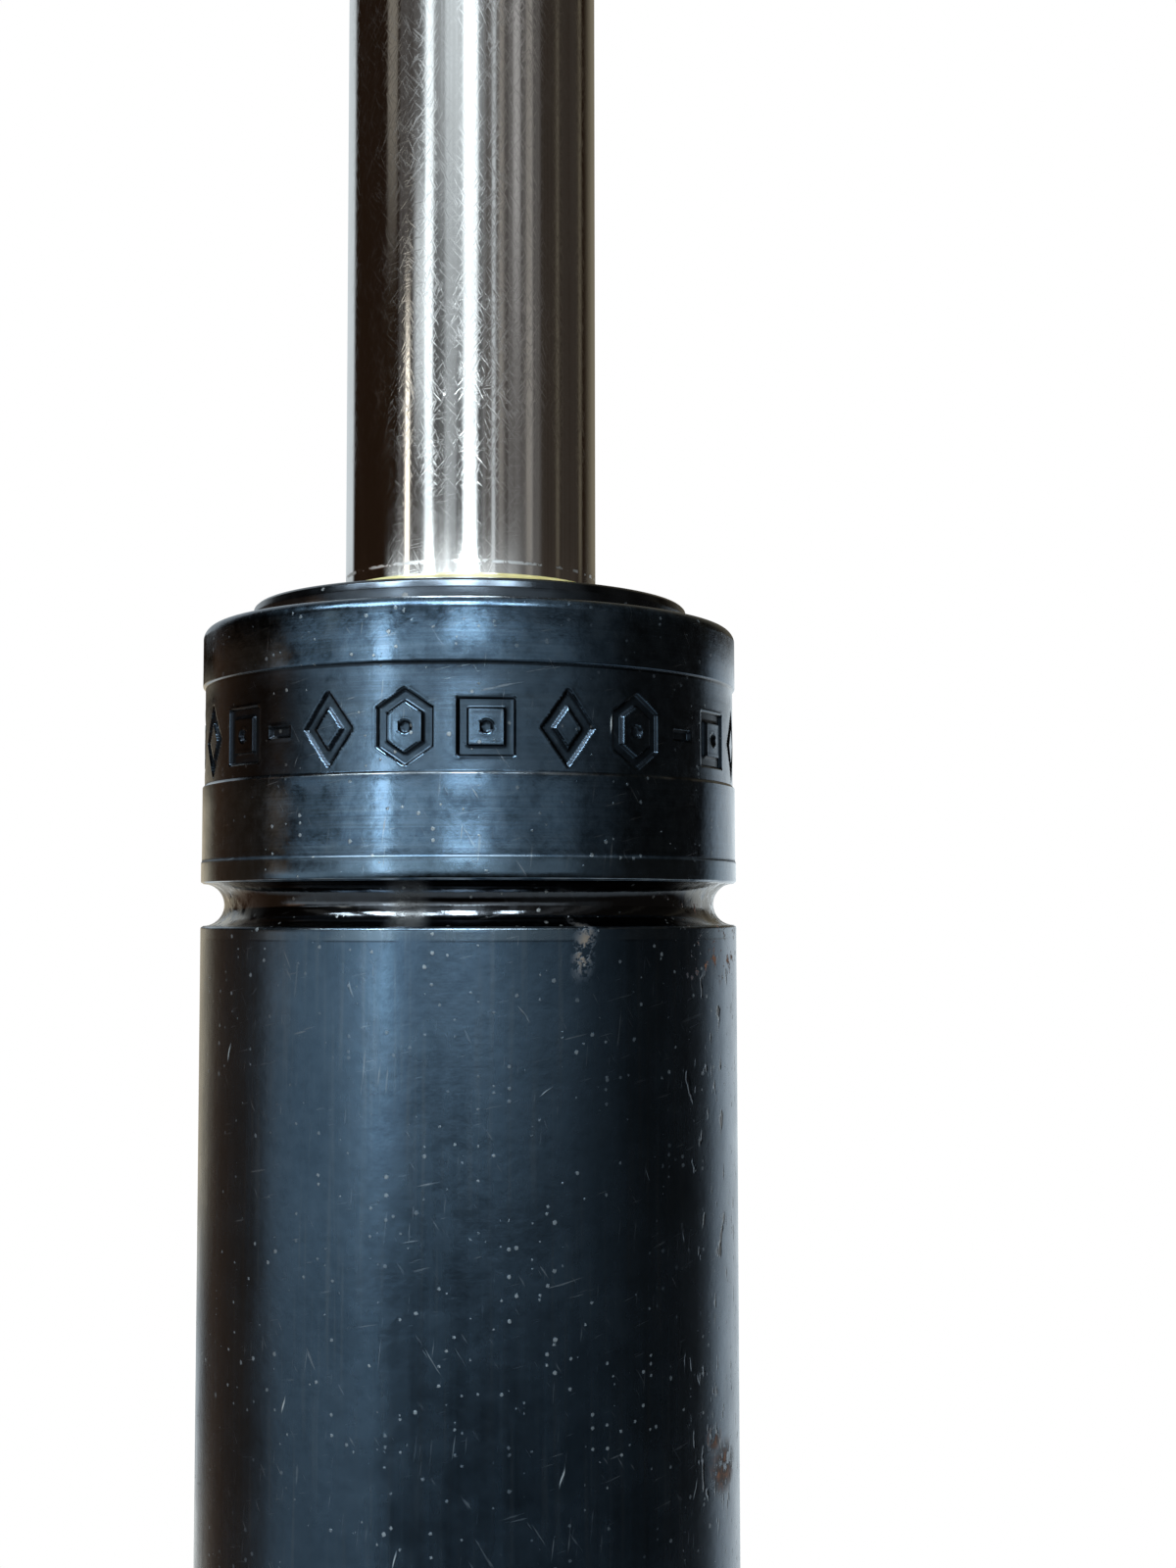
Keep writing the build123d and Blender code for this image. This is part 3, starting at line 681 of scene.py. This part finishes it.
def rubber_like(name, c0, c1, rough=(0.35, 0.55), trans=0.0):
    mat, t, bsdf, obj = material(name)
    cloud = t.noise(obj, 300.0, 3.0, 0.6)
    grain = t.noise(obj, 4000.0, 2.0, 0.6)
    t.put(bsdf.inputs["Base Color"], t.mix(t.lin(cloud, 0.3, 0.7), c0, c1))
    t.put(bsdf.inputs["Roughness"], t.lin(cloud, 0.3, 0.7, *rough))
    if trans:
        bsdf.inputs["Subsurface Weight"].default_value = trans
        bsdf.inputs["Subsurface Radius"].default_value = (0.0012, 0.0006, 0.0002)
        bsdf.inputs["Subsurface Scale"].default_value = 0.5
    t.put(bsdf.inputs["Normal"], t.bump(grain, 0.00001, 0.5))
    return mat


def turned_metal(name, c0, c1, rough=(0.22, 0.38), stain=None):
    """Turned metal: fine rings round the axis, oil patches and a few dark specks."""
    mat, t, bsdf, obj = material(name)
    phi, z, rad, x, y, zz = cyl(t, obj)
    ringv = t.combine(t.mul(rad, 3.2), t.mul(z, 3.2), 0.0)
    rings = t.noise(ringv, 1.0, 3.0, 0.65)
    cloud = t.noise(obj, 220.0, 3.0, 0.6)
    col = t.mix(t.lin(cloud, 0.3, 0.7), c0, c1)
    col = t.mix(t.mul(t.lin(rings, 0.5, 0.8), 0.3), col, tuple(min(1.0, v * 1.35) for v in c1))
    if stain:
        col = t.mix(t.mul(t.step(t.noise(obj, 650.0, 3.0, 0.7), 0.58, 0.70), 0.6), col, stain)
    t.put(bsdf.inputs["Base Color"], col)
    bsdf.inputs["Metallic"].default_value = 1.0
    t.put(bsdf.inputs["Roughness"], t.add(t.lin(cloud, 0.3, 0.7, *rough), t.mul(t.sub(rings, 0.5), 0.12)))
    t.put(bsdf.inputs["Normal"], t.bump(rings, 0.00001, 0.6))
    return mat


def weave(name, c0, c1):
    """Fabric-filled phenolic: two crossing thread directions showing through the resin."""
    mat, t, bsdf, obj = material(name)
    phi, z, rad, x, y, zz = cyl(t, obj)
    a = t.math("SINE", t.mul(t.mul(phi, 15.0), 12.0))
    b = t.math("SINE", t.mul(z, 12.0))
    w = t.lin(t.mul(a, b), -1, 1)
    n = t.noise(obj, 900.0, 3.0, 0.6)
    t.put(bsdf.inputs["Base Color"], t.mix(t.add(t.mul(w, 0.6), t.mul(n, 0.4)), c0, c1))
    t.put(bsdf.inputs["Roughness"], t.lin(n, 0.3, 0.7, 0.4, 0.6))
    t.put(bsdf.inputs["Normal"], t.bump(w, 0.00002, 0.5))
    return mat


MATS = {
    "black_oxide": black_oxide(),
    "hard_chrome": chrome(),
    "cover_black": gloss_black(),
    "wiper_amber": rubber_like("amber_polyurethane", (0.17, 0.145, 0.050), (0.42, 0.38, 0.18), (0.24, 0.38), 0.15),
    "seal_rubber": rubber_like("nitrile_rubber", (0.012, 0.012, 0.013), (0.028, 0.028, 0.030)),
    "seal_polyurethane": rubber_like("blue_polyurethane", (0.05, 0.13, 0.30), (0.09, 0.20, 0.40), (0.22, 0.36), 0.15),
    "ptfe": rubber_like("filled_ptfe", (0.80, 0.80, 0.77), (0.88, 0.88, 0.86), (0.35, 0.5), 0.2),
    "bronze": turned_metal("sintered_bronze", (0.50, 0.32, 0.15), (0.62, 0.42, 0.21), (0.30, 0.45), (0.20, 0.13, 0.07)),
    "alloy_steel": turned_metal("oiled_steel", (0.36, 0.36, 0.37), (0.48, 0.48, 0.49), (0.22, 0.36), (0.22, 0.19, 0.15)),
    "spring_steel": turned_metal("spring_steel", (0.24, 0.25, 0.28), (0.36, 0.37, 0.40), (0.20, 0.34)),
    "guide_phenolic": weave("phenolic_fabric", (0.32, 0.17, 0.07), (0.52, 0.32, 0.16)),
    "zinc_steel": turned_metal("zinc_plate", (0.58, 0.58, 0.55), (0.72, 0.72, 0.69), (0.25, 0.42), (0.45, 0.43, 0.36)),
    "brass": turned_metal("turned_brass", (0.70, 0.52, 0.22), (0.80, 0.62, 0.30), (0.20, 0.34)),
    "washer_copper": turned_metal("annealed_copper", (0.66, 0.33, 0.20), (0.76, 0.42, 0.28), (0.28, 0.42), (0.30, 0.15, 0.10)),
}


def paint(ob, mat):
    me = ob.data
    if not me.materials:
        me.materials.append(mat)
    for i in range(len(ob.material_slots)):
        me.materials[i] = mat


for ob, slot in ((body, "black_oxide"), (cover, "cover_black"), (wiper, "wiper_amber"), (rod, "hard_chrome"), (spring, "spring_steel")):
    paint(ob, MATS[slot])
slots = {s["node"]: s["material_slot"] for s in frame["record"]["subparts"]}
for node, ob in frame["nodes"].items():
    paint(ob, MATS[slots[node]])

# ------------------------------------------------------------------ floor
bm = bmesh.new()
hub = bm.verts.new((0, 0, -0.0002))
edge_ = [bm.verts.new((0.56 * cos(2 * pi * k / 96), 0.56 * sin(2 * pi * k / 96), -0.0002)) for k in range(96)]
for k in range(96):
    bm.faces.new((hub, edge_[k], edge_[(k + 1) % 96]))
floor = new_object("floor", bm)
fmat, ft, fb, fo = material("pale_floor")
fphi, fz, frad, fx, fy, fzz = cyl(ft, fo)
ft.put(fb.inputs["Base Color"], ft.mix(ft.noise(fo, 40.0, 2.0), (0.26, 0.26, 0.26), (0.29, 0.29, 0.29)))
fb.inputs["Roughness"].default_value = 0.8
ft.put(fb.inputs["Alpha"], ft.step(frad, 250.0, 540.0, 1.0, 0.0))
paint(floor, fmat)

# ------------------------------------------------------------------ light: a soft studio built in the world, with strip lights and dark flags
world = bpy.data.worlds.new("studio")
scene.world = world
world.use_nodes = True
wt = Tree(world.node_tree)
for n in list(world.node_tree.nodes):
    world.node_tree.nodes.remove(n)
wc = wt.node("ShaderNodeTexCoord")
ws = wt.node("ShaderNodeSeparateXYZ")
wt.put(ws.inputs[0], wc.outputs["Generated"])
dx, dy, dz = ws.outputs
psi = wt.mul(wt.math("ARCTAN2", dx, wt.mul(dy, -1.0)), 180 / pi)
apsi = wt.math("ABSOLUTE", psi)
el = wt.mul(wt.math("ARCSINE", dz), 180 / pi)

total = None


def glow(colour, strength, weight):
    global total
    n = wt.node("ShaderNodeVectorMath", operation="SCALE")
    n.inputs[0].default_value = tuple(c * strength for c in colour)
    wt.put(n.inputs["Scale"], weight)
    if total is None:
        total = n.outputs[0]
        return
    a = wt.node("ShaderNodeVectorMath", operation="ADD")
    wt.put(a.inputs[0], total)
    wt.put(a.inputs[1], n.outputs[0])
    total = a.outputs[0]


def card(colour, strength, p0, p1, e0, e1, ps=1.0, es=3.0):
    """A soft-edged light card between two azimuths and two elevations, in degrees; azimuth 0 is behind the main camera."""
    glow(colour, strength, wt.mul(wt.window(psi, p0, p1, ps), wt.window(el, e0, e1, es)))


WHITE, COOL, WARM, BROWN, OLIVE = (1, 1, 1), (0.86, 0.95, 1.0), (1.0, 0.93, 0.80), (1.0, 0.55, 0.32), (1.0, 0.90, 0.66)
MIST = (0.90, 0.97, 1.0)
grain = wt.noise(wt.combine(wt.mul(psi, 0.33), wt.mul(el, 0.012), 0.0), 1.0, 3.0, 0.65)
grain = wt.lin(grain, 0.30, 0.70, 0.35, 1.65)                                    # fine uprights that break up the walls


def wall(colour, strength, p0, p1, e0, e1, ps=2.0, es=0.6):
    """A card whose brightness varies with azimuth, as a wall of shelves and doors does."""
    glow(colour, strength, wt.mul(grain, wt.mul(wt.window(psi, p0, p1, ps), wt.window(el, e0, e1, es))))


glow(BROWN, 0.014, wt.step(el, -95, -90))                                        # faint room
# upper room, above 9 degrees, seen in the rod
wall(COOL, 0.10, -47, 12, 9.3, 80, 2.5)
wall(COOL, 0.30, -44, 9, 20, 80, 3.0, 5.0)
card(COOL, 1.05, -43, -35.5, 9.3, 80, 1.0, 0.8)                                  # strip light 1
card(COOL, 0.66, -53, -37, 14, 20, 3.0, 2.0)
card(COOL, 1.30, -7.5, 5, 9.3, 80, 1.6, 0.8)                                       # strip light 2
card(COOL, 0.30, -24, -14, 9.3, 80, 2.5, 0.8)
card(COOL, 0.30, -14, -7, 16, 80, 2.5, 5.0)
card(WARM, 1.9, -62.5, -58, 9.0, 16, 0.7, 2.5)                                   # narrow warm strip
card(WARM, 0.18, -84, -73, 20, 80, 1.5, 3.0)
wall(WHITE, 0.055, -70, -46, 9.3, 80)
card(COOL, 0.50, 18.3, 21.6, 9.3, 80, 0.7, 0.8)                                      # narrow cool strip
wall(WHITE, 0.095, 10, 66, 9.3, 80)
card(WARM, 0.13, 25, 29, 12, 80, 1.2, 4.0)
card(WHITE, 0.26, 38, 45, 17, 80, 1.2, 5.0)
card(WARM, 0.12, 51, 57, 9.3, 80, 1.2, 0.8)
wall((1.0, 0.97, 0.86), 0.020, 62, 116, 9.3, 80)
card(OLIVE, 0.06, 84, 88, 9.3, 80, 2.0, 0.8)
card(OLIVE, 0.09, 117, 123, 9.3, 80, 1.5, 0.8)
glow(OLIVE, 0.17, wt.mul(wt.step(psi, 126, 156), wt.step(el, 8, 10)))
glow(COOL, 0.70, wt.mul(wt.step(psi, -134, -142, 0.0, 1.0), wt.step(el, 8.6, 9.6)))
# lamps overhead, seen in the grooves and on the rounded rim, and the ceiling
card(COOL, 22.0, -77, -66, 38, 54, 1.0, 1.0)
card(COOL, 42.0, -56, -42, 37, 60, 1.0, 1.0)
card(COOL, 24.0, -28, -19, 45, 58, 1.0, 1.0)
card(COOL, 40.0, -14, 3, 37, 60, 1.0, 1.0)
card(COOL, 30.0, 15, 26, 37, 50, 1.0, 1.0)
glow(COOL, 0.7, wt.step(el, 58, 80))
# lower room, below 9 degrees, seen in the body
card(COOL, 9.5, -39.5, -33.5, -1.5, 9.3, 1.0, 1.2)                               # strip light 1 goes on down
card(COOL, 24.0, -10, 6, 8.1, 9.3, 4.0, 0.5)                                      # foot of strip light 2
wall(MIST, 2.3, -80, 20, 7.0, 9.3, 7.0, 0.8)
wall(MIST, 1.9, -56, 12, -0.5, 7.2, 4.0, 2.0)
wall(MIST, 0.6, -74, -58, -1.0, 4.5, 3.0, 1.5)
wall(MIST, 0.6, -50, 0, 1.0, 9.3, 6.0, 2.0)
card(MIST, 0.75, 8, 42, -3.0, 9.3, 8.0, 2.0)
card(MIST, 0.16, 34, 62, -8.0, 9.3, 8.0, 2.0)
card(BROWN, 0.7, -92, -81, -2.0, 6.0, 2.0, 2.0)
card(MIST, 1.25, -90, -26, -9.0, 1.0, 8.0, 2.5)
card(MIST, 0.56, -28, 26, -7.0, 1.0, 8.0, 2.0)
card(MIST, 0.60, -48, -34, -8.0, 0.0, 5.0, 2.5)
card(MIST, 0.52, -90, -38, -70.0, -8.0, 6.0, 4.0)
card(MIST, 0.06, 20, 60, -70.0, -8.0, 8.0, 4.0)
card((1.0, 0.9, 0.8), 0.035, 60, 112, -70.0, 9.3, 6.0, 1.0)
glow(COOL, 1.2, wt.mul(wt.step(psi, 113, 136), wt.step(el, 9.3, 5)))
glow(BROWN, 0.14, wt.mul(wt.window(psi, -140, -86, 5.0), wt.step(el, 9.0, 7.0)))
glow((1.0, 0.88, 0.66), 0.75, wt.mul(wt.step(psi, -134, -150), wt.window(el, -9, 4, 3)))
glow(COOL, 0.9, wt.mul(wt.step(psi, -144, -156), wt.step(el, -6, -12)))
glow((1.0, 0.90, 0.74), 0.45, wt.mul(wt.step(psi, -130, -144), wt.step(el, -13, -17)))

sky = wt.node("ShaderNodeBackground")
wt.put(sky.inputs["Color"], total)
plain = wt.node("ShaderNodeBackground")
plain.inputs["Color"].default_value = (1, 1, 1, 1)
lp = wt.node("ShaderNodeLightPath")
mixs = wt.node("ShaderNodeMixShader")
wt.put(mixs.inputs[0], lp.outputs["Is Camera Ray"])
wt.put(mixs.inputs[1], sky.outputs[0])
wt.put(mixs.inputs[2], plain.outputs[0])
out = wt.node("ShaderNodeOutputWorld")
wt.put(out.inputs["Surface"], mixs.outputs[0])
scene.view_settings.view_transform = "Standard"
scene.view_settings.look = "None"
scene.view_settings.exposure = 0.0
scene.view_settings.gamma = 1.0
